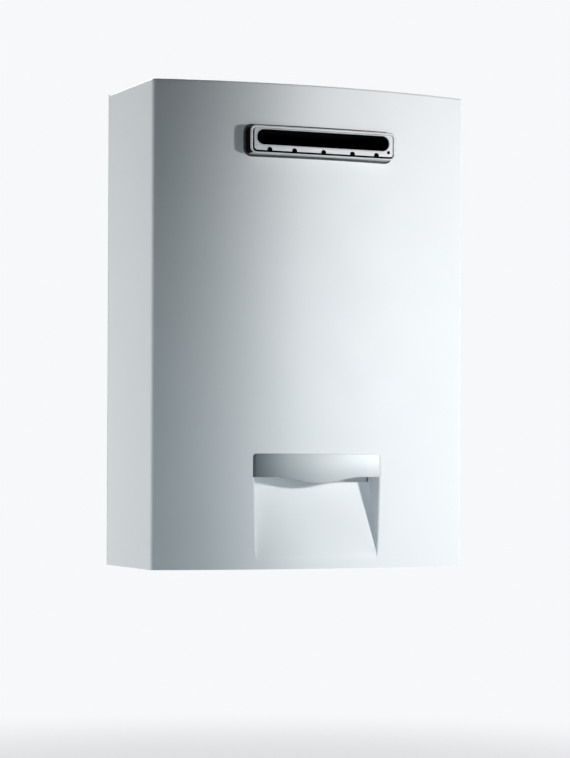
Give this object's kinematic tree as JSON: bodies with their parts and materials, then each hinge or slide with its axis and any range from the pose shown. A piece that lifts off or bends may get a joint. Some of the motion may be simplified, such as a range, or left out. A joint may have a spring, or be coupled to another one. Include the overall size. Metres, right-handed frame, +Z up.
{
  "type": "gas water heater",
  "caption": "Wall-hung outdoor gas water heater: white steel casing with a bowed front, a slotted stainless flue outlet near the top and a recess under a silver bar.",
  "frame": {"origin": "on the wall plane, at the middle of the casing's width and level with its lower edge", "axes": "+Z up along the casing, +Y into the wall, +X to the right as seen from the front"},
  "size_m": [0.41, 0.1936, 0.599],
  "materials": {
    "white_enamel": "white powder coat, satin gloss",
    "silver_plastic": "silver-grey lacquer, satin",
    "black_rubber": "matt",
    "zinc_steel": "zinc-plated sheet",
    "stainless": "pressed stainless steel, satin",
    "copper": "bare copper",
    "cast_aluminium": "die-cast",
    "brass": "machined",
    "ceramic": "white ceramic with steel rod",
    "black_plastic": "moulded",
    "white_plastic": "moulded",
    "grey_plastic": "moulded",
    "green_board": "lacquered board"
  },
  "bodies": {
    "chassis": {"cover_screws": "zinc_steel", "rear_panel": "zinc_steel", "bottom_plate": "zinc_steel", "terminal_housing": "stainless", "terminal_face": "stainless", "terminal_seal": "black_rubber", "flue_collector": "stainless", "fin_pack": "copper", "fin_tubes": "copper", "end_plates": "copper", "water_header": "copper", "combustion_chamber": "copper", "wrap_tube": "copper", "stack_brackets": "zinc_steel", "burner_tray": "stainless", "burner_blades": "stainless", "gas_manifold": "cast_aluminium", "injectors": "brass", "ignition_electrodes": "ceramic", "flame_rod": "ceramic", "overheat_switch": "black_plastic", "air_duct": "zinc_steel", "fan_housing": "zinc_steel", "fan_bracket": "zinc_steel", "fan_motor": "black_plastic", "gas_fitting": "brass", "gas_valve": "cast_aluminium", "solenoid_coils": "black_plastic", "gas_feed_pipe": "copper", "cold_inlet": "brass", "flow_sensor": "black_plastic", "flow_valve": "brass", "servo_motor": "black_plastic", "cold_pipe": "copper", "hot_pipe": "copper", "hot_outlet": "brass", "relief_valve": "brass", "pipe_nuts": "brass", "pipe_clips": "zinc_steel", "control_box": "grey_plastic", "control_lid": "grey_plastic", "circuit_board": "green_board", "ignition_transformer": "black_plastic", "wiring_loom": "black_plastic", "cable_gland": "black_plastic", "case_screws": "zinc_steel"},
    "cover": {"front_cover": "white_enamel", "trim_bar": "silver_plastic", "terminal_gasket": "black_rubber", "intake_baffle": "white_enamel"},
    "fan_rotor": {"fan_shaft": "stainless", "fan_impeller": "zinc_steel"},
    "safety_plunger": {"safety_plunger": "stainless"},
    "main_plunger": {"main_plunger": "stainless"},
    "drain_plug": {"drain_plug": "black_plastic", "inlet_filter": "white_plastic"},
    "turbine": {"flow_turbine": "white_plastic"},
    "spindle": {"valve_spindle": "stainless"}
  },
  "joints": [
    {"name": "cover_slide", "type": "slide", "parent": "chassis", "child": "cover", "axis": [0, -1, 0], "range_m": [0, 0.25]},
    {"name": "fan_spin", "type": "hinge", "parent": "chassis", "child": "fan_rotor", "pos_m": [-0.062, -0.07, 0.10405], "axis": [0, 1, 0], "continuous": true},
    {"name": "safety_plunger_slide", "type": "slide", "parent": "chassis", "child": "safety_plunger", "axis": [1, 0, 0], "range_m": [0, 0.003], "stiffness_N_per_m": 500, "springref_m": -0.002},
    {"name": "main_plunger_slide", "type": "slide", "parent": "chassis", "child": "main_plunger", "axis": [1, 0, 0], "range_m": [0, 0.003], "stiffness_N_per_m": 500, "springref_m": -0.002},
    {"name": "drain_plug_slide", "type": "slide", "parent": "chassis", "child": "drain_plug", "axis": [0, 0, -1], "range_m": [0, 0.018]},
    {"name": "turbine_spin", "type": "hinge", "parent": "chassis", "child": "turbine", "pos_m": [0.165, -0.033, 0.086], "axis": [0, 0, 1], "continuous": true},
    {"name": "spindle_turn", "type": "hinge", "parent": "chassis", "child": "spindle", "pos_m": [0.165, -0.033, 0.13], "axis": [0, 1, 0], "range_deg": [0, 90]}
  ]
}
